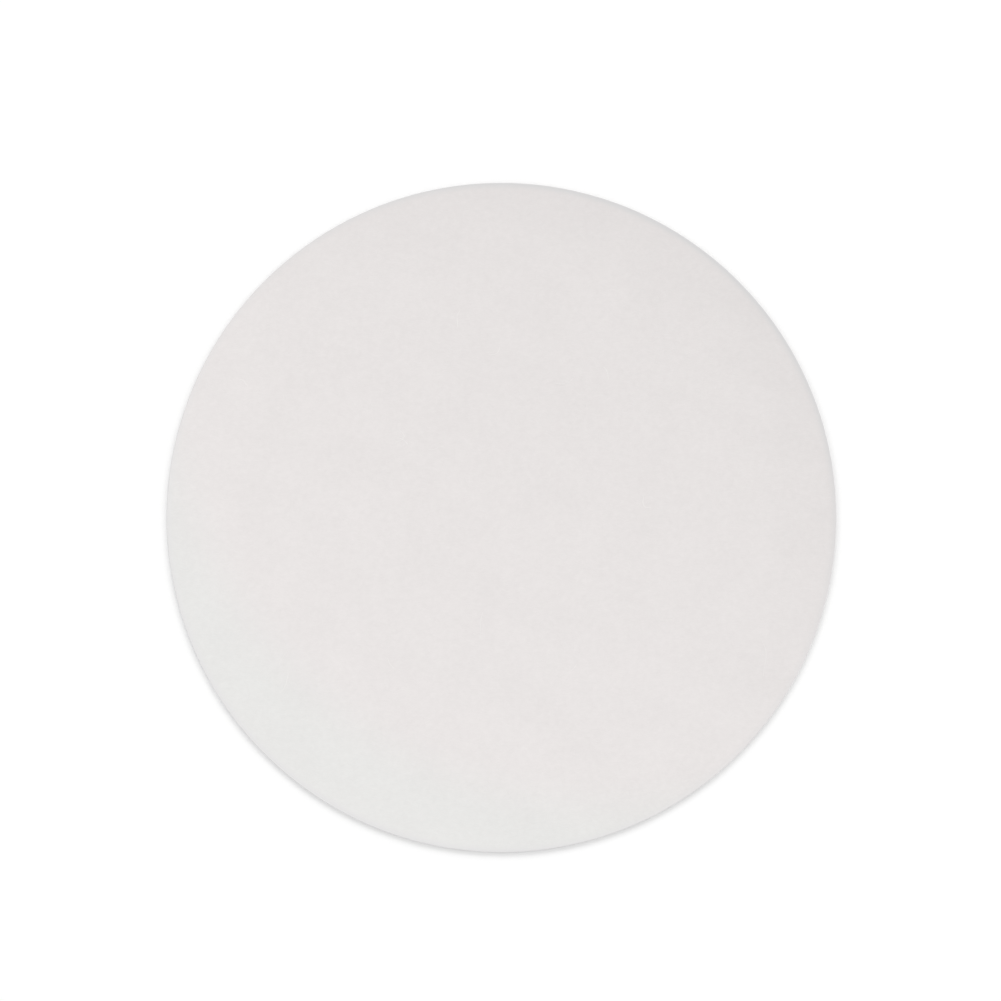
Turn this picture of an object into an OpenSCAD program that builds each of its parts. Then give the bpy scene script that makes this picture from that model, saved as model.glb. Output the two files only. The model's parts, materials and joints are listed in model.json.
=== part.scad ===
// Filter paper disc: one round sheet of absorbent paper, punched from a larger one.
// It lies on the XY plane, centred on the Z axis. Its middle is flat, and its rim
// curls up a little. All sizes are in millimetres.

/* [Sheet] */
// Diameter of the disc, across its cut edge
disc_d = 55; // [20:0.5:150]
// Thickness of the paper
paper_t = 0.3; // [0.15:0.01:1.2]

/* [Curled rim] */
// Width of the band along the edge that curls up
band_w = 6.5; // [0.5:0.25:9]
// How far the cut edge stands up above the flat middle
band_rise = 0.12; // [0.01:0.01:0.4]

/* [Hidden] */

disc_r = disc_d / 2;
// Radius of the flat middle
flat_r = disc_r - band_w;
// Straight steps that the curve of the band is drawn with
band_steps = 12;
// Smoothness of the round edge in the preview
$fn = 180;

// Point on a face in the band, at a share (0 to 1) of the way out across it. The face
// starts level, at the height given, and rises with the square of the share.
function band_point(share, height) =
    [flat_r + band_w * share, height + band_rise * pow(share, 2)];

// Half of the disc cut through its middle: as thick in the band as in the middle, and
// plumb at the cut
module half_section() {
    polygon([
        [0, 0],
        for (i = [0 : band_steps]) band_point(i / band_steps, 0),
        for (i = [band_steps : -1 : 0]) band_point(i / band_steps, paper_t),
        [0, paper_t],
    ]);
}

module paper_disc() {
    color("#E7E5E4") rotate_extrude() half_section();
}

paper_disc();
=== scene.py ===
"""A disc of filter paper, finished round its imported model.

The sheet is one closed skin of revolution. Its rim curls up a little, and its upper
face has the paper's gentle relief. Felted fibres lie in that face, a few loose ones
lie on it, and short fibre ends stand out of the punched cut. +Z is up and all places
are in metres.
"""

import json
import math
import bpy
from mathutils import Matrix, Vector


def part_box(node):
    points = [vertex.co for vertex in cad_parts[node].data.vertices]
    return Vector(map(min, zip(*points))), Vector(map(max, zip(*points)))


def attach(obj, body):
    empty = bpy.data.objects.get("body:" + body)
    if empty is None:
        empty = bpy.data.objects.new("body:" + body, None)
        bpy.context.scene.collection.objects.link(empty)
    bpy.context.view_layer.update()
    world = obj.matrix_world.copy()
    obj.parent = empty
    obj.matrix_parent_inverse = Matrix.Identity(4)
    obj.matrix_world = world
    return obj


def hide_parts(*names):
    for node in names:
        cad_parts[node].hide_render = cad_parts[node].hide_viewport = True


bl_info = {
    "name": "Filter Paper Disc",
    "version": (1, 0, 0),
    "blender": (4, 5, 0),
    "location": "3D View > Sidebar > Filter Paper",
    "description": "Makes a punched disc of filter paper, its fibres, and a table and lamps round it",
    "category": "Add Mesh",
}

import bpy
import numpy as np
from bpy.props import FloatProperty, FloatVectorProperty, IntProperty, PointerProperty
from mathutils import Vector

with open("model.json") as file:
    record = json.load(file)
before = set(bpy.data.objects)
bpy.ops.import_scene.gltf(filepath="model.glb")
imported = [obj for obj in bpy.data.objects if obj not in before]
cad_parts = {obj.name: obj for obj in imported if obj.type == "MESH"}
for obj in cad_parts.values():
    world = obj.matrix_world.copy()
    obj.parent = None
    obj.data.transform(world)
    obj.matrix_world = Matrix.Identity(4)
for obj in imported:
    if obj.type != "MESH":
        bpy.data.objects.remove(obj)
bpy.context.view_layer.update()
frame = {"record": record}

MM = 0.001
NODE = "paper_disc"
BODY = "root"
# How far every lamp stands from the paper, in metres
LAMP_DISTANCE = 5.0
# A Mix node's sockets for colours, whose names it also gives to its other sockets
MIX_SHARE, MIX_FROM, MIX_TO, MIX_RESULT = 0, 6, 7, 2

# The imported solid's own sizes
mounts = {mount["name"]: mount for mount in frame["record"]["mounts"]}
RADIUS = mounts["rim"]["dims"]["r_mm"] * MM
THICKNESS = mounts["upper_face"]["pos_m"][2]
BAND_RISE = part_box(NODE)[1].z - THICKNESS


# ---------------------------------------------------------------- colours


def linear(hex_colour):
    """The linear RGB of an sRGB hex colour such as "E8E4E3"."""
    srgb = np.array([int(hex_colour[i : i + 2], 16) for i in (0, 2, 4)]) / 255
    return tuple(np.where(srgb <= 0.04045, srgb / 12.92, ((srgb + 0.055) / 1.055) ** 2.4))


def rgba(colour):
    """A colour with full alpha, as a node's socket takes it."""
    return (*colour, 1.0)


# ---------------------------------------------------------------- settings


def length_property(name, description, default_mm, low_mm=0.0, high_mm=1000.0):
    """A length, given here in millimetres and kept in metres."""
    return FloatProperty(
        name=name,
        description=description,
        default=default_mm * MM,
        min=low_mm * MM,
        max=high_mm * MM,
        subtype="DISTANCE",
        unit="LENGTH",
        precision=6,
    )


def share_property(name, description, default, high=1.0):
    """A plain number from 0 upwards."""
    return FloatProperty(name=name, description=description, default=default, min=0.0, max=high)


def angle_property(name, description, degrees):
    """An angle, given here in degrees and kept in radians."""
    return FloatProperty(
        name=name,
        description=description,
        default=math.radians(degrees),
        subtype="ANGLE",
        unit="ROTATION",
    )


def colour_property(name, description, hex_colour):
    """A colour, given here as sRGB hex and kept as linear RGB."""
    return FloatVectorProperty(
        name=name,
        description=description,
        default=linear(hex_colour),
        min=0.0,
        max=1.0,
        subtype="COLOR",
    )


class SheetSettings(bpy.types.PropertyGroup):
    """Sizes and colours of the sheet"""

    radius: length_property("Radius", "Radius of the disc at its cut", RADIUS / MM)
    thickness: length_property("Thickness", "Thickness of the paper", THICKNESS / MM)
    band_width: length_property("Band width", "Width of the band along the cut that curls up", 6.5)
    band_rise: length_property("Band rise", "How far the cut stands above the middle", BAND_RISE / MM)
    lip_width: length_property("Lip width", "Width of the lip that the punch pulled up", 0.6)
    lip_rise: length_property("Lip rise", "How far the punch pulled the lip up", 0.012)
    corner: length_property("Corner", "Radius at the two edges of the cut", 0.025)
    wave_slope: share_property("Wave slope", "Usual slope of the paper's gentle waves", 0.0045, 0.1)
    # Painted light: the sheet is made whiter towards one side, as a lamp nearer that side would light
    # it
    painted_light_slope: share_property("Drift", "How much whiter the sheet gets from its middle to one side", 0.0325)
    painted_light_heading: angle_property("Drift heading", "Direction of that side, from +X", -124)
    # Painted light: a cool tint in a crescent along the side that is painted whiter
    painted_cool_tint: share_property("Cooling", "How much red the white loses along that side", 0.026)
    crown_colour: colour_property("Crowns", "Paper where fibres lie high", "ECE8E7")
    hollow_colour: colour_property("Hollows", "Paper in the hollows between fibres", "E6E2E1")
    # Edge: the greyer, darker tone that the face takes along the cut
    edge_colour: colour_property("Edge", "Paper pressed dense along the cut", "E1E0E0")
    cut_colour: colour_property("Cut", "Torn fibre ends in the cut", "CCCAC8")


class FibreSettings(bpy.types.PropertyGroup):
    """Numbers, sizes and colour of the fibres"""

    felted_count: IntProperty(
        name="Felted fibres",
        description="Fibres that lie in the upper face",
        default=2200,
        min=0,
    )
    felted_length: length_property("Felted length", "Usual length of a felted fibre", 1.5)
    felted_width: length_property("Felted width", "Width of a felted fibre", 0.05)
    felted_crest: length_property("Felted crest", "How far a felted fibre stands proud", 0.0015)
    loose_count: IntProperty(
        name="Loose fibres",
        description="Fibres scattered on the upper face, besides two long ones",
        default=14,
        min=0,
    )
    loose_length: length_property("Loose length", "Usual length of a loose fibre", 1.7)
    loose_width: length_property("Loose width", "Width of a loose fibre", 0.028)
    end_count: IntProperty(
        name="Fibre ends",
        description="Fibre ends that stand out of the cut",
        default=900,
        min=0,
    )
    end_reach: length_property("End reach", "How far a fibre end reaches out of the cut", 0.07)
    end_width: length_property("End width", "Width of a fibre end", 0.018)
    fibre_colour: colour_property("Fibre", "Colour of a single fibre", "F4F2F0")


class StageSettings(bpy.types.PropertyGroup):
    """The table, the camera's view and each lamp's share of the light"""

    table_size: length_property("Table", "Side of the square table top", 8000, 500, 20000)
    table_colour: colour_property("Table colour", "Colour of the table top", "F8F8F8")
    surround: share_property("Surround", "White that the table adds to its lit colour in view", 0.09)
    lens: FloatProperty(
        name="Lens",
        description="Focal length of the camera, in millimetres",
        default=100.0,
        subtype="DISTANCE_CAMERA",
    )
    view_width: length_property("View width", "Width of the picture at the paper", 82.22)
    view_x: length_property("View X", "Middle of the picture, along X", -0.082, -50)
    view_y: length_property("View Y", "Middle of the picture, along Y", 1.405, -50)
    room_share: share_property("Room", "Share of the light that comes evenly from the room", 0.623)
    back_share: share_property("Back lamp", "Share of the light from behind", 0.116)
    corner_share: share_property("Corner lamps", "Share of the light from each back corner", 0.044)
    side_share: share_property("Side lamps", "Share of the light from each side", 0.037)
    raking_share: share_property("Raking lamp", "Share of the light that falls along the face", 0.104)


# ---------------------------------------------------------------- meshes


def closed_skins(name, first_poles, rings, last_poles):
    """A mesh of closed skins that are each a row of rings between two poles.

    rings[s, i, j] is point j of ring i of skin s. Each ring is joined to the next one
    and to itself, and the end rings to their poles, so no edge is open. A face looks
    along (way from ring to ring) x (way round the ring).
    """
    skins, ring_count, sides = rings.shape[:3]
    points = np.concatenate(
        [first_poles[:, None], rings.reshape(skins, ring_count * sides, 3), last_poles[:, None]],
        axis=1,
    )
    here = 1 + np.arange(ring_count)[:, None] * sides + np.arange(sides)
    beside = np.roll(here, -1, axis=1)
    quads = np.stack([here[:-1], here[1:], beside[1:], beside[:-1]], axis=-1).reshape(-1, 4)
    first_fan = np.stack([np.zeros(sides, int), here[0], beside[0]], axis=-1)
    last_pole = np.full(sides, ring_count * sides + 1)
    last_fan = np.stack([here[-1], last_pole, beside[-1]], axis=-1)
    starts = np.arange(skins)[:, None, None] * points.shape[1]
    all_quads = (quads[None] + starts).reshape(-1, 4)
    all_fans = (np.concatenate([first_fan, last_fan])[None] + starts).reshape(-1, 3)
    corners = np.concatenate([all_quads.ravel(), all_fans.ravel()])
    sizes = np.concatenate([np.full(len(all_quads), 4), np.full(len(all_fans), 3)])

    mesh = bpy.data.meshes.new(name)
    mesh.vertices.add(skins * points.shape[1])
    mesh.vertices.foreach_set("co", points.astype(np.float32).ravel())
    mesh.loops.add(len(corners))
    mesh.loops.foreach_set("vertex_index", corners.astype(np.int32))
    mesh.polygons.add(len(sizes))
    mesh.polygons.foreach_set("loop_start", (np.cumsum(sizes) - sizes).astype(np.int32))
    mesh.update(calc_edges=True)
    mesh.validate()
    return mesh


def add_piece(mesh, material, smooth):
    """Shows a mesh as a piece of the object that rides with the paper."""
    mesh.polygons.foreach_set("use_smooth", np.full(len(mesh.polygons), smooth))
    mesh.materials.append(material)
    piece = bpy.data.objects.new(mesh.name, mesh)
    bpy.context.scene.collection.objects.link(piece)
    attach(piece, BODY)
    return piece


def waves(x, y, slope):
    """Height of the paper's gentle waves at x, y.

    It is a sum of plane waves a cos(k (x cos h + y sin h) + p), where heading h and
    phase p are random, the wave lengths run evenly by ratio from the longest to the
    shortest, and each height a is the one that gives its wave an equal part of the slope.
    """
    wave_count = 42
    longest = 10 * MM
    shortest = 1.2 * MM
    rng = np.random.default_rng(21)
    lengths = np.geomspace(longest, shortest, wave_count)
    numbers = 2 * math.pi / lengths
    headings = rng.uniform(0, 2 * math.pi, wave_count)
    phases = rng.uniform(0, 2 * math.pi, wave_count)
    heights = slope * math.sqrt(2 / wave_count) / numbers
    total = np.zeros(np.broadcast(x, y).shape)
    for k, h, p, a in zip(numbers, headings, phases, heights):
        total += a * np.cos(k * (x * math.cos(h) + y * math.sin(h)) + p)
    return total


def climb(radii, radius, width, rise):
    """Height that a margin along the cut gains.

    It grows with the square of the share of the way out across the margin, up to the rise.
    """
    share = np.clip((radii - (radius - width)) / width, 0, 1)
    return rise * share**2


def lower_height(x, y, sheet):
    """Height of the underside: the curl of the band."""
    return climb(np.hypot(x, y), sheet.radius, sheet.band_width, sheet.band_rise)


def upper_height(x, y, sheet):
    """Height of the upper face: the thickness, the curl, the lip at the cut and the waves."""
    lip = climb(np.hypot(x, y), sheet.radius, sheet.lip_width, sheet.lip_rise)
    return sheet.thickness + lower_height(x, y, sheet) + lip + waves(x, y, sheet.wave_slope)


def quarter_turn(start, steps):
    """Angles of a quarter circle from start onwards, clockwise, in radians."""
    return np.radians(np.linspace(start, start - 90, steps))


def sheet_mesh(sheet):
    """The sheet: its section carried round the Z axis.

    The section runs from the middle out across the upper face, round a small quarter
    circle, down the plumb cut, round another quarter circle and back to the middle
    across the underside. Each of its points has a radius, and a drop from the upper
    face or a lift from the lower one.
    """
    round_steps = 640
    inner = 0.3 * MM
    margin = sheet.radius - sheet.lip_width
    outer = sheet.radius - sheet.corner
    # A ring close to the corner keeps the corner's shading off the face
    hold = outer - 0.6 * sheet.corner
    upper_r = np.concatenate(
        [np.linspace(inner, margin, 84, endpoint=False), np.linspace(margin, hold, 9), [outer]]
    )
    upper_angles = quarter_turn(90, 5)[1:]
    upper_turn_r = outer + sheet.corner * np.cos(upper_angles)
    upper_turn_drop = sheet.corner * (np.sin(upper_angles) - 1)
    cut_lift = np.linspace(sheet.thickness - 2 * sheet.corner, 2 * sheet.corner, 5)
    cut_r = np.full(len(cut_lift), sheet.radius)
    lower_angles = quarter_turn(0, 4)
    lower_turn_r = outer + sheet.corner * np.cos(lower_angles)
    lower_turn_lift = sheet.corner * (1 + np.sin(lower_angles))
    under_r = np.append(hold, np.linspace(outer - 1 * MM, 1 * MM, 20))

    radii = np.concatenate([upper_r, upper_turn_r, cut_r, lower_turn_r, under_r])
    drops = np.concatenate([np.zeros(len(upper_r)), upper_turn_drop])
    lifts = np.concatenate([cut_lift, lower_turn_lift, np.zeros(len(under_r))])
    angles = np.linspace(0, 2 * math.pi, round_steps, endpoint=False)
    x = radii[:, None] * np.cos(angles)
    y = radii[:, None] * np.sin(angles)
    z = np.empty_like(x)
    upper = len(drops)
    z[:upper] = upper_height(x[:upper], y[:upper], sheet) + drops[:, None]
    z[upper:] = lower_height(x[upper:], y[upper:], sheet) + lifts[:, None]
    rings = np.stack([x, y, z], axis=-1)[None]
    top = np.array([[0, 0, float(upper_height(np.zeros(1), np.zeros(1), sheet)[0])]])
    return closed_skins("paper_sheet", top, rings, np.zeros((1, 3)))


def centre_lines(rng, middle, heading, length, bend, stations):
    """Centre lines of many fibres, flat in XY.

    At share u of its length a fibre heads along heading + bend sin(2 pi (turns u + phase)).
    Its points are the running sum of equal steps along that heading, moved so that
    their mean is its middle. Returns x and y as [fibre, station].
    """
    share = np.linspace(0, 1, stations)
    turns = rng.uniform(0.35, 1.0, (len(length), 1))
    phase = rng.uniform(0, 1, (len(length), 1))
    way = heading[:, None] + bend[:, None] * np.sin(2 * math.pi * (turns * share + phase))
    step = length[:, None] / (stations - 1)
    x = np.cumsum(np.cos(way) * step, axis=1)
    y = np.cumsum(np.sin(way) * step, axis=1)
    x += middle[:, :1] - x.mean(axis=1, keepdims=True)
    y += middle[:, 1:] - y.mean(axis=1, keepdims=True)
    return x, y


def fibre_mesh(name, x, y, z, half_width, half_height, sides):
    """Fibres as tubes round their centre lines, pointed at both ends.

    A ring's points are p + side cos(a) w + up sin(a) h, where side is level and square
    to the fibre, and w and h fall to nothing at the ends as the root of 1 - (2u - 1)^4.
    """
    points = np.stack([x, y, z], axis=-1)
    along = np.gradient(points, axis=1)
    side = np.stack([-along[..., 1], along[..., 0], np.zeros(x.shape)], axis=-1)
    side /= np.linalg.norm(side, axis=-1, keepdims=True)
    up = np.array([0.0, 0.0, 1.0])
    share = np.linspace(0, 1, x.shape[1])
    fullness = np.sqrt(1 - (2 * share - 1) ** 4)[None, :, None, None]
    angles = -np.arange(sides) * 2 * math.pi / sides
    across = side[:, :, None] * np.cos(angles)[:, None] * half_width[:, None, None, None]
    upright = up * np.sin(angles)[:, None] * half_height[:, None, None, None]
    rings = points[:, :, None] + (across + upright) * fullness
    return closed_skins(name, points[:, 0], rings[:, 1:-1], points[:, -1])


def scattered(rng, count, radius):
    """Random places spread evenly over a disc.

    A place's reach is the radius times the root of an even random share.
    """
    reach = radius * np.sqrt(rng.uniform(0, 1, count))
    angle = rng.uniform(0, 2 * math.pi, count)
    return np.stack([reach * np.cos(angle), reach * np.sin(angle)], axis=-1)


def felted_mesh(sheet, fibres):
    """Fibres that lie in the upper face.

    A fibre's back stands one crest proud of the face in the middle. By the share
    (2u - 1)^4 of two crests it sinks from there, so both ends dive below the face.
    """
    stations = 10
    sides = 4
    # No fibre reaches the cut from inside this radius
    field = sheet.radius - 1.2 * fibres.felted_length
    rng = np.random.default_rng(5)
    count = fibres.felted_count
    length = fibres.felted_length * rng.uniform(0.5, 1.6, count)
    middle = scattered(rng, count, field)
    heading = rng.uniform(0, 2 * math.pi, count)
    x, y = centre_lines(rng, middle, heading, length, rng.uniform(0.2, 1.2, count), stations)
    crest = fibres.felted_crest
    half_height = np.full(count, 4 * crest)
    half_width = fibres.felted_width / 2 * rng.uniform(0.7, 1.3, count)
    share = np.linspace(0, 1, stations)
    rise = crest - half_height[:, None] - 2 * crest * (2 * share - 1) ** 4
    z = upper_height(x, y, sheet) + rise
    return fibre_mesh("felted_fibres", x, y, z, half_width, half_height, sides)


def loose_mesh(sheet, fibres):
    """A few whole fibres that came off other sheets: flat ribbons that lie on the upper face."""
    stations = 16
    sides = 6
    flatness = 0.3
    field = sheet.radius - 2 * fibres.loose_length
    rng = np.random.default_rng(8)
    count = fibres.loose_count
    middle = scattered(rng, count, field)
    heading = rng.uniform(0, 2 * math.pi, count)
    length = fibres.loose_length * rng.uniform(0.5, 1.4, count)
    bend = rng.uniform(0.3, 1.1, count)
    # The two longest: one left of the middle of the near half, one towards the right
    middle = np.append(middle, np.array([[-1.7, -8.9], [21.6, -11.6]]) * MM, axis=0)
    heading = np.append(heading, np.radians([84, 98]))
    length = np.append(length, np.array([2.4, 3.3]) * MM)
    bend = np.append(bend, [0.12, 0.35])
    x, y = centre_lines(rng, middle, heading, length, bend, stations)
    half_width = np.full(len(length), fibres.loose_width / 2)
    half_height = flatness * half_width
    # A quarter of a ribbon's thickness is sunk between the fibres of the face
    z = upper_height(x, y, sheet) + half_height[:, None] / 2
    return fibre_mesh("loose_fibres", x, y, z, half_width, half_height, sides)


def end_mesh(sheet, fibres):
    """Short fibre ends that stand out of the cut, each rooted inside the paper.

    An end reaches out by the full reach times the square of a random share, so most
    are short, and it is three times as long as it reaches.
    """
    stations = 7
    sides = 5
    rng = np.random.default_rng(13)
    count = fibres.end_count
    angle = rng.uniform(0, 2 * math.pi, count)
    reach = fibres.end_reach * rng.uniform(0.25, 1.0, count) ** 2
    length = 3 * reach
    out = sheet.radius + reach - length / 2
    middle = np.stack([out * np.cos(angle), out * np.sin(angle)], axis=-1)
    heading = angle + rng.normal(0, 0.5, count)
    x, y = centre_lines(rng, middle, heading, length, rng.uniform(0.1, 0.7, count), stations)
    half = fibres.end_width / 2 * rng.uniform(0.6, 1.1, count)
    level = rng.uniform(0.12, 0.85, count) * sheet.thickness
    tilt = rng.normal(0, 0.25, count) * reach
    z = sheet.band_rise + np.clip(
        level[:, None] + tilt[:, None] * np.linspace(-1, 1, stations),
        half[:, None],
        sheet.thickness - half[:, None],
    )
    return fibre_mesh("cut_fibre_ends", x, y, z, half, half, sides)


# ---------------------------------------------------------------- materials


def add_node(tree, kind, inputs=None, **settings):
    """Adds a node, sets its settings, and gives each named input a value or another node's socket."""
    node = tree.nodes.new(kind)
    for name, value in settings.items():
        setattr(node, name, value)
    for name, value in (inputs or {}).items():
        if isinstance(value, bpy.types.NodeSocket):
            tree.links.new(value, node.inputs[name])
        else:
            node.inputs[name].default_value = value
    return node


def new_material(name):
    """An empty material and its node tree."""
    material = bpy.data.materials.new(name)
    material.use_nodes = True
    material.node_tree.nodes.clear()
    return material, material.node_tree


def place_in_mm(tree):
    """The place of a point on the piece, in millimetres."""
    place = add_node(tree, "ShaderNodeTexCoord").outputs["Object"]
    return add_node(tree, "ShaderNodeMapping", {"Vector": place, "Scale": (1 / MM,) * 3}).outputs[0]


def felted_web(tree, in_mm):
    """How clearly a fibre shows at a place, from 0 to 1.

    It is the highest of some layers of stretched noise, whose headings are spread over
    half a turn. A slow warp bends the streaks. Real fibres are 0.02 mm wide, and are
    drawn 0.1 mm wide so that they show.
    """
    layers = 5
    first_heading = 11
    streak_length = 1.6
    streak_width = 0.1
    bend_size = 1.1
    warp = add_node(
        tree,
        "ShaderNodeTexNoise",
        {"Vector": in_mm, "Scale": 1 / bend_size, "Detail": 1.0},
    ).outputs["Color"]
    centred = add_node(
        tree,
        "ShaderNodeVectorMath",
        {0: warp, 1: (0.5, 0.5, 0.5)},
        operation="SUBTRACT",
    ).outputs[0]
    bent = add_node(
        tree,
        "ShaderNodeVectorMath",
        {0: centred, 1: (bend_size,) * 3, 2: in_mm},
        operation="MULTIPLY_ADD",
    ).outputs[0]
    web = None
    for layer in range(layers):
        heading = math.radians(180 / layers * layer + first_heading)
        # Its own place makes each layer read another part of the noise
        turned = add_node(
            tree,
            "ShaderNodeMapping",
            {
                "Vector": bent,
                "Location": (17.0 * layer, 9.0 * layer, 0),
                "Rotation": (0, 0, heading),
                "Scale": (1 / streak_length, 1 / streak_width, 1 / streak_width),
            },
            vector_type="POINT",
        ).outputs[0]
        streak = add_node(
            tree,
            "ShaderNodeTexNoise",
            {"Vector": turned, "Scale": 1.0, "Detail": 1.0},
        ).outputs["Fac"]
        # Only the upper part of the noise makes a fibre, so there is clear ground between them
        fibre = add_node(
            tree,
            "ShaderNodeMapRange",
            {"Value": streak, "From Min": 0.52, "From Max": 0.74},
            interpolation_type="SMOOTHSTEP",
        ).outputs[0]
        if web is None:
            web = fibre
        else:
            web = add_node(tree, "ShaderNodeMath", {0: web, 1: fibre}, operation="MAXIMUM").outputs[0]
    return web


def felt_colour(tree, in_mm, web, grain, sheet):
    """Colour of the felt, from the hollows' to the crowns'.

    It follows a sum of the grain, the flocks of stock and a little of the fibre web.
    """
    flock_size = 5.0
    web_share = 0.32
    cloud_share = 0.85
    cloud = add_node(
        tree,
        "ShaderNodeTexNoise",
        {"Vector": in_mm, "Scale": 1 / flock_size, "Detail": 4.0, "Roughness": 0.6},
    ).outputs["Fac"]
    fine = add_node(
        tree,
        "ShaderNodeMath",
        {0: web, 1: web_share, 2: grain},
        operation="MULTIPLY_ADD",
    ).outputs[0]
    tone = add_node(
        tree,
        "ShaderNodeMath",
        {0: cloud, 1: cloud_share, 2: fine},
        operation="MULTIPLY_ADD",
    ).outputs[0]
    # The sum keeps to this range nearly everywhere
    crown = add_node(
        tree,
        "ShaderNodeMapRange",
        {"Value": tone, "From Min": 0.62, "From Max": 1.62},
    ).outputs[0]
    return add_node(
        tree,
        "ShaderNodeMix",
        {MIX_SHARE: crown, MIX_FROM: rgba(sheet.hollow_colour), MIX_TO: rgba(sheet.crown_colour)},
        data_type="RGBA",
    ).outputs[MIX_RESULT]


def with_painted_cool_light(tree, colour, outwards, side, sheet):
    """The colour with less warmth in a crescent along one side: painted cool light on the side that is
    painted whiter.

    The crescent is what lies far from a point on the other side of the middle: it
    begins at one reach from there and is full at another.
    """
    radius_mm = sheet.radius / MM
    opposite = [-0.61 * radius_mm * part for part in side]
    begins = 1.26 * radius_mm
    full = 1.48 * radius_mm
    far = add_node(
        tree,
        "ShaderNodeVectorMath",
        {0: outwards, 1: opposite},
        operation="DISTANCE",
    ).outputs["Value"]
    crescent = add_node(
        tree,
        "ShaderNodeMapRange",
        {"Value": far, "From Min": begins, "From Max": full},
        interpolation_type="SMOOTHSTEP",
    ).outputs[0]
    # Red falls by the painted cool tint, green rises by a third of it and blue stays
    tint = add_node(
        tree,
        "ShaderNodeVectorMath",
        {0: crescent, 1: [sheet.painted_cool_tint * part for part in (-1, 0.3, 0)], 2: (1, 1, 1)},
        operation="MULTIPLY_ADD",
    ).outputs[0]
    return add_node(
        tree,
        "ShaderNodeVectorMath",
        {0: colour, 1: tint},
        operation="MULTIPLY",
    ).outputs[0]


def darkened_at_cut(tree, colour, reach, towards, sheet):
    """The colour made greyer and darker along the cut.

    Its strength is greatest at two opposite sides. A narrow margin goes to the edge's colour
    with the strength times the square of the way across it, and a wide one is faintly dulled.
    """
    radius_mm = sheet.radius / MM
    narrow = 0.74
    wide = 5.0
    dulling = 0.007
    least_rim_strength = 0.45
    most_rim_strength = 1.85
    squared = add_node(
        tree,
        "ShaderNodeMath",
        {0: towards, 1: towards},
        operation="MULTIPLY",
    ).outputs[0]
    rim_strength = add_node(
        tree,
        "ShaderNodeMapRange",
        {"Value": squared, "To Min": least_rim_strength, "To Max": most_rim_strength},
    ).outputs[0]
    margin = add_node(
        tree,
        "ShaderNodeMapRange",
        {"Value": reach, "From Min": radius_mm - narrow, "From Max": radius_mm},
    ).outputs[0]
    margin_weight = add_node(tree, "ShaderNodeMath", {0: margin, 1: 2.0}, operation="POWER").outputs[0]
    share = add_node(tree, "ShaderNodeMath", {0: margin_weight, 1: rim_strength}, operation="MULTIPLY").outputs[0]
    edged = add_node(
        tree,
        "ShaderNodeMix",
        {MIX_SHARE: share, MIX_FROM: colour, MIX_TO: rgba(sheet.edge_colour)},
        data_type="RGBA",
    ).outputs[MIX_RESULT]
    faint = add_node(
        tree,
        "ShaderNodeMapRange",
        {"Value": reach, "From Min": radius_mm - wide, "From Max": radius_mm - 0.5, "To Max": -dulling},
        interpolation_type="SMOOTHSTEP",
    ).outputs[0]
    dulled = add_node(
        tree,
        "ShaderNodeMath",
        {0: faint, 1: rim_strength, 2: 1.0},
        operation="MULTIPLY_ADD",
    ).outputs[0]
    return add_node(
        tree,
        "ShaderNodeVectorMath",
        {0: edged, "Scale": dulled},
        operation="SCALE",
    ).outputs[0]


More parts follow.
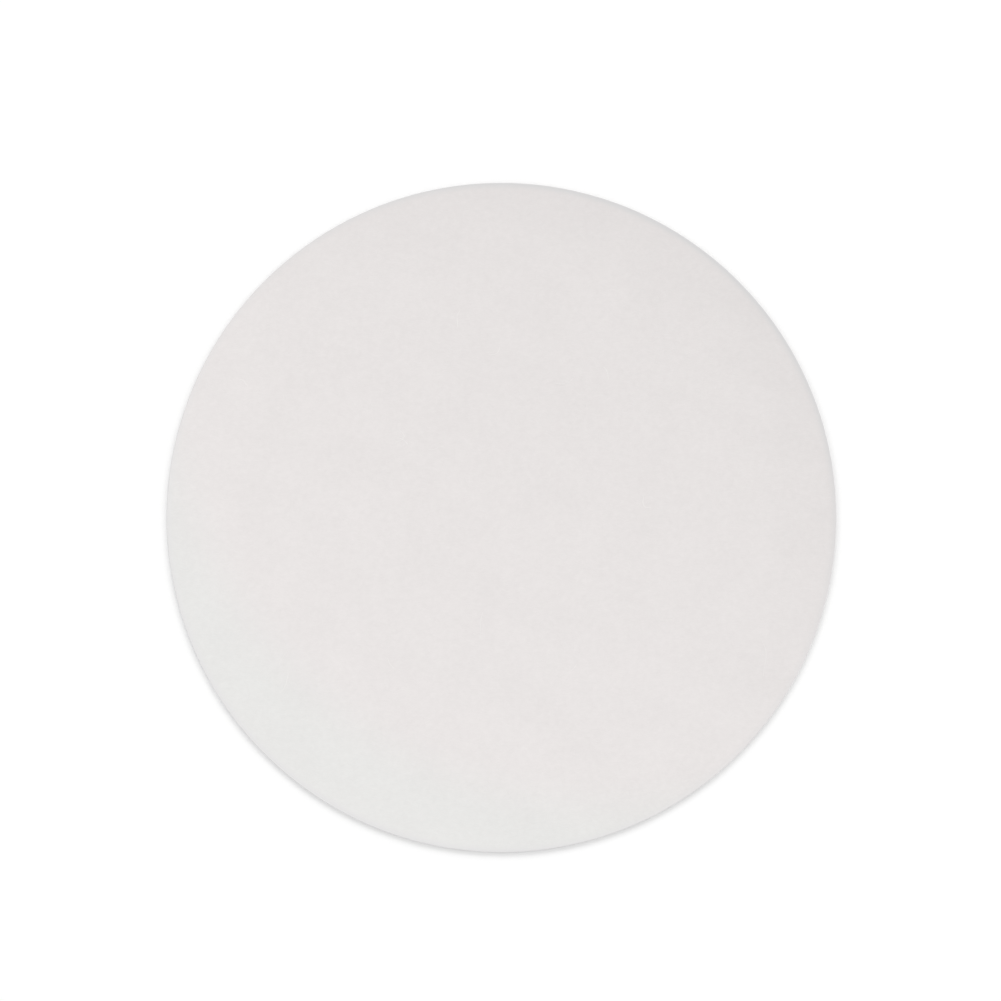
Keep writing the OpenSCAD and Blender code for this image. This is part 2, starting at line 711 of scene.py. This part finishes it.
def filter_paper(sheet):
    """Unsized filter paper: bleached cellulose felted on a wire and dried without rollers.

    Nothing seals or polishes it, so it is quite matt and a warm white. Fibres of all
    headings show as faint curved streaks over a fine grain, and the stock's flocks as
    soft clouds about 5 mm across. Along the cut it is greyer and a little darker. Painted
    light makes one side whiter and cooler than the other.
    """
    material, tree = new_material("filter_paper_felted_unpressed")
    in_mm = place_in_mm(tree)
    outwards = add_node(
        tree,
        "ShaderNodeVectorMath",
        {0: in_mm, 1: (1, 1, 0)},
        operation="MULTIPLY",
    ).outputs[0]
    reach = add_node(tree, "ShaderNodeVectorMath", {0: outwards}, operation="LENGTH").outputs["Value"]
    radius_mm = sheet.radius / MM
    # Towards: from -1 to 1 across the disc, up to the side that is painted lighter
    side = (math.cos(sheet.painted_light_heading), math.sin(sheet.painted_light_heading), 0)
    towards = add_node(
        tree,
        "ShaderNodeVectorMath",
        {0: in_mm, 1: [part / radius_mm for part in side]},
        operation="DOT_PRODUCT",
    ).outputs["Value"]

    # Grain: knots of fibres
    grain_size = 0.45
    grain = add_node(
        tree,
        "ShaderNodeTexNoise",
        {"Vector": in_mm, "Scale": 1 / grain_size, "Detail": 2.0, "Roughness": 0.5},
    ).outputs["Fac"]
    web = felted_web(tree, in_mm)
    felt = felt_colour(tree, in_mm, web, grain, sheet)
    face = darkened_at_cut(tree, with_painted_cool_light(tree, felt, outwards, side, sheet), reach, towards, sheet)

    # Drift: painted light, one side of the sheet made whiter than the other as if a lamp stood nearer
    # it
    painted_light_scale = add_node(
        tree,
        "ShaderNodeMath",
        {0: towards, 1: sheet.painted_light_slope, 2: 1.0},
        operation="MULTIPLY_ADD",
    ).outputs[0]
    with_painted_light = add_node(
        tree,
        "ShaderNodeVectorMath",
        {0: face, "Scale": painted_light_scale},
        operation="SCALE",
    ).outputs[0]

    # Cut: torn fibre ends, from the last few thousandths of a millimetre on
    in_cut = add_node(
        tree,
        "ShaderNodeMapRange",
        {"Value": reach, "From Min": radius_mm - 0.006, "From Max": radius_mm - 0.001},
    ).outputs[0]
    colour = add_node(
        tree,
        "ShaderNodeMix",
        {MIX_SHARE: in_cut, MIX_FROM: with_painted_light, MIX_TO: rgba(sheet.cut_colour)},
        data_type="RGBA",
    ).outputs[MIX_RESULT]

    # Relief too fine for the mesh: the fibres and the grain
    height = add_node(
        tree,
        "ShaderNodeMath",
        {0: web, 1: 0.5, 2: grain},
        operation="MULTIPLY_ADD",
    ).outputs[0]
    bump = add_node(
        tree,
        "ShaderNodeBump",
        {"Height": height, "Strength": 1.0, "Distance": 0.0015 * MM},
    ).outputs[0]
    rough = add_node(
        tree,
        "ShaderNodeMapRange",
        {"Value": grain, "From Min": 0.3, "From Max": 0.7, "To Min": 0.98, "To Max": 0.9},
    ).outputs[0]
    shader = add_node(
        tree,
        "ShaderNodeBsdfPrincipled",
        {"Base Color": colour, "Roughness": rough, "IOR": 1.47, "Normal": bump},
    )
    add_node(tree, "ShaderNodeOutputMaterial", {"Surface": shader.outputs[0]})
    return material


def single_fibre(fibres):
    """A single bleached cotton fibre: whiter and a little glossier than the felt it lies on.

    Its colour wanders along its length, where it twisted and flattened as it dried.
    """
    material, tree = new_material("cellulose_fibre_dried")
    twist_length = 0.25
    twist = add_node(
        tree,
        "ShaderNodeTexNoise",
        {"Vector": place_in_mm(tree), "Scale": 1 / twist_length, "Detail": 1.0},
    ).outputs["Fac"]
    darker = tuple(0.95 * channel for channel in fibres.fibre_colour)
    colour = add_node(
        tree,
        "ShaderNodeMix",
        {MIX_SHARE: twist, MIX_FROM: rgba(darker), MIX_TO: rgba(fibres.fibre_colour)},
        data_type="RGBA",
    ).outputs[MIX_RESULT]
    rough = add_node(
        tree,
        "ShaderNodeMapRange",
        {"Value": twist, "To Min": 0.9, "To Max": 0.7},
    ).outputs[0]
    shader = add_node(
        tree,
        "ShaderNodeBsdfPrincipled",
        {"Base Color": colour, "Roughness": rough, "IOR": 1.53},
    )
    add_node(tree, "ShaderNodeOutputMaterial", {"Surface": shader.outputs[0]})
    return material


def seen_directly(tree):
    """1 for rays from the camera, a mirror or glass, and 0 for those that light things."""
    path = add_node(tree, "ShaderNodeLightPath")
    camera, glossy, clear = (
        path.outputs[f"Is {kind} Ray"] for kind in ("Camera", "Glossy", "Transmission")
    )
    either = add_node(tree, "ShaderNodeMath", {0: camera, 1: glossy}, operation="MAXIMUM").outputs[0]
    return add_node(tree, "ShaderNodeMath", {0: either, 1: clear}, operation="MAXIMUM").outputs[0]


def table_laminate(stage):
    """Matt white laminate. In view it is lifted to plain white, and keeps the paper's shadow.

    The lamps fade far from the paper, so the lift grows on the way out to make up for it.
    """
    near = 70 * MM
    far = 700 * MM
    material, tree = new_material("white_matt_laminate")
    lit = add_node(tree, "ShaderNodeBsdfDiffuse", {"Color": rgba(stage.table_colour)})
    place = add_node(tree, "ShaderNodeTexCoord").outputs["Object"]
    away = add_node(tree, "ShaderNodeVectorMath", {0: place}, operation="LENGTH").outputs["Value"]
    raised = add_node(
        tree,
        "ShaderNodeMapRange",
        {"Value": away, "From Min": near, "From Max": far, "To Min": stage.surround},
    ).outputs[0]
    strength = add_node(
        tree,
        "ShaderNodeMath",
        {0: seen_directly(tree), 1: raised},
        operation="MULTIPLY",
    ).outputs[0]
    lift = add_node(tree, "ShaderNodeEmission", {"Color": (1, 1, 1, 1), "Strength": strength})
    both = add_node(tree, "ShaderNodeAddShader", {0: lit.outputs[0], 1: lift.outputs[0]})
    add_node(tree, "ShaderNodeOutputMaterial", {"Surface": both.outputs[0]})
    # The lift lights nothing, so it isn't sampled as a lamp
    material.cycles.emission_sampling = "NONE"
    return material


# ---------------------------------------------------------------- stage


def direction(azimuth, elevation):
    """Unit vector towards a lamp. Azimuth 0 is along +X and 90 along +Y, in degrees."""
    a = math.radians(azimuth)
    e = math.radians(elevation)
    return Vector((math.cos(a) * math.cos(e), math.sin(a) * math.cos(e), math.sin(e)))


def softbox(name, azimuth, elevation, width, height, share, shadows=True):
    """A rectangular lamp aimed at the paper, which gives that share of a level surface's light.

    Its width and height are in metres. An area lamp of P watts lights a level white
    surface to P sin(elevation) / (pi distance)^2, where 1 is the level at which a colour
    looks as it is written. A lamp without shadows models the face but passes through
    the paper, and nothing passes its light on.
    """
    data = bpy.data.lights.new(name, "AREA")
    data.shape = "RECTANGLE"
    data.size = width
    data.size_y = height
    if not shadows:
        data.use_shadow = False
        data.cycles.max_bounces = 0
    data.energy = share * (math.pi * LAMP_DISTANCE) ** 2 / math.sin(math.radians(elevation))
    lamp = bpy.data.objects.new(name, data)
    towards = direction(azimuth, elevation)
    lamp.location = towards * LAMP_DISTANCE
    lamp.rotation_mode = "QUATERNION"
    lamp.rotation_quaternion = (-towards).to_track_quat("-Z", "Y")
    lamp.visible_camera = False
    bpy.context.scene.collection.objects.link(lamp)


def make_world(stage):
    """An even pale room: plain white where it is seen, and the room's share as a light."""
    world = bpy.data.worlds.new("white_room")
    world.use_nodes = True
    tree = world.node_tree
    tree.nodes.clear()
    strength = add_node(
        tree,
        "ShaderNodeMapRange",
        {"Value": seen_directly(tree), "To Min": stage.room_share, "To Max": 1.0},
    ).outputs[0]
    back = add_node(tree, "ShaderNodeBackground", {"Color": (1, 1, 1, 1), "Strength": strength})
    add_node(tree, "ShaderNodeOutputWorld", {"Surface": back.outputs[0]})
    bpy.context.scene.world = world


def make_camera(stage, height):
    """A camera that looks straight down, with +Y towards the top of the picture."""
    data = bpy.data.cameras.new("camera")
    data.lens = stage.lens
    data.dof.use_dof = False
    camera = bpy.data.objects.new("camera", data)
    distance = stage.view_width * data.lens / data.sensor_width
    camera.location = (stage.view_x, stage.view_y, height + distance)
    data.clip_start = 0.1 * distance
    data.clip_end = 10 * distance
    bpy.context.scene.collection.objects.link(camera)
    bpy.context.scene.camera = camera


def make_table(stage):
    """A large flat table top, a hair below the paper's underside."""
    half = stage.table_size / 2
    hair = 0.001 * MM
    corners = [(-half, -half, -hair), (half, -half, -hair), (half, half, -hair), (-half, half, -hair)]
    mesh = bpy.data.meshes.new("table_top")
    mesh.from_pydata(corners, [], [(0, 1, 2, 3)])
    mesh.materials.append(table_laminate(stage))
    table = bpy.data.objects.new("table_top", mesh)
    bpy.context.scene.collection.objects.link(table)


# ---------------------------------------------------------------- operators


class MESH_OT_filter_paper_sheet(bpy.types.Operator):
    """Make the sheet of filter paper"""

    bl_idname = "mesh.filter_paper_sheet"
    bl_label = "Paper Sheet"

    def execute(self, context):
        sheet = context.scene.filter_paper_sheet
        piece = add_piece(sheet_mesh(sheet), filter_paper(sheet), smooth=True)
        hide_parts("paper_disc")
        return {"FINISHED"}


class MESH_OT_filter_paper_fibres(bpy.types.Operator):
    """Make the felted fibres, the loose ones and the fibre ends at the cut"""

    bl_idname = "mesh.filter_paper_fibres"
    bl_label = "Fibres"

    def execute(self, context):
        sheet = context.scene.filter_paper_sheet
        fibres = context.scene.filter_paper_fibres
        felt = bpy.data.materials["filter_paper_felted_unpressed"]
        fibre = single_fibre(fibres)
        add_piece(felted_mesh(sheet, fibres), felt, smooth=False)
        add_piece(loose_mesh(sheet, fibres), fibre, smooth=True)
        add_piece(end_mesh(sheet, fibres), fibre, smooth=True)
        return {"FINISHED"}


class SCENE_OT_filter_paper_stage(bpy.types.Operator):
    """Make the table, the room, the lamps and the camera"""

    bl_idname = "scene.filter_paper_stage"
    bl_label = "Table and Lamps"

    def execute(self, context):
        stage = context.scene.filter_paper_stage
        sheet = context.scene.filter_paper_sheet
        make_table(stage)
        make_world(stage)
        softbox("back_lamp", 90, 40.5, 2.6, 2.2, stage.back_share)
        softbox("back_left_lamp", 126, 40, 2.0, 1.5, stage.corner_share)
        softbox("back_right_lamp", 54, 40, 2.0, 1.5, stage.corner_share)
        softbox("left_lamp", 165, 44, 2.4, 1.6, stage.side_share)
        softbox("right_lamp", 15, 44, 2.4, 1.6, stage.side_share)
        softbox("raking_lamp", 24, 11, 1.3, 0.4, stage.raking_share, shadows=False)
        make_camera(stage, sheet.thickness + sheet.band_rise)
        context.scene.view_settings.view_transform = "Standard"
        return {"FINISHED"}


class VIEW3D_PT_filter_paper(bpy.types.Panel):
    """Sizes, colours and operators of the filter paper disc"""

    bl_label = "Filter Paper Disc"
    bl_space_type = "VIEW_3D"
    bl_region_type = "UI"
    bl_category = "Filter Paper"

    def draw(self, context):
        for group, operators in PANEL_ROWS:
            box = self.layout.box()
            settings = getattr(context.scene, group)
            for name in settings.bl_rna.properties.keys():
                if name not in ("rna_type", "name"):
                    box.prop(settings, name)
            for operator in operators:
                box.operator(operator)


SETTINGS = {
    "filter_paper_sheet": SheetSettings,
    "filter_paper_fibres": FibreSettings,
    "filter_paper_stage": StageSettings,
}
PANEL_ROWS = [
    ("filter_paper_sheet", ["mesh.filter_paper_sheet"]),
    ("filter_paper_fibres", ["mesh.filter_paper_fibres"]),
    ("filter_paper_stage", ["scene.filter_paper_stage"]),
]
CLASSES = [
    *SETTINGS.values(),
    MESH_OT_filter_paper_sheet,
    MESH_OT_filter_paper_fibres,
    SCENE_OT_filter_paper_stage,
    VIEW3D_PT_filter_paper,
]


def register():
    """Registers the classes and gives every scene its settings."""
    for made in CLASSES:
        bpy.utils.register_class(made)
    for name, group in SETTINGS.items():
        setattr(bpy.types.Scene, name, PointerProperty(type=group))


def unregister():
    """Takes the settings and the classes away again."""
    for name in SETTINGS:
        delattr(bpy.types.Scene, name)
    for made in reversed(CLASSES):
        bpy.utils.unregister_class(made)


def main():
    """Makes the disc and its stage."""
    register()
    bpy.ops.mesh.filter_paper_sheet()
    bpy.ops.mesh.filter_paper_fibres()
    bpy.ops.scene.filter_paper_stage()


if __name__ == "__main__":
    main()
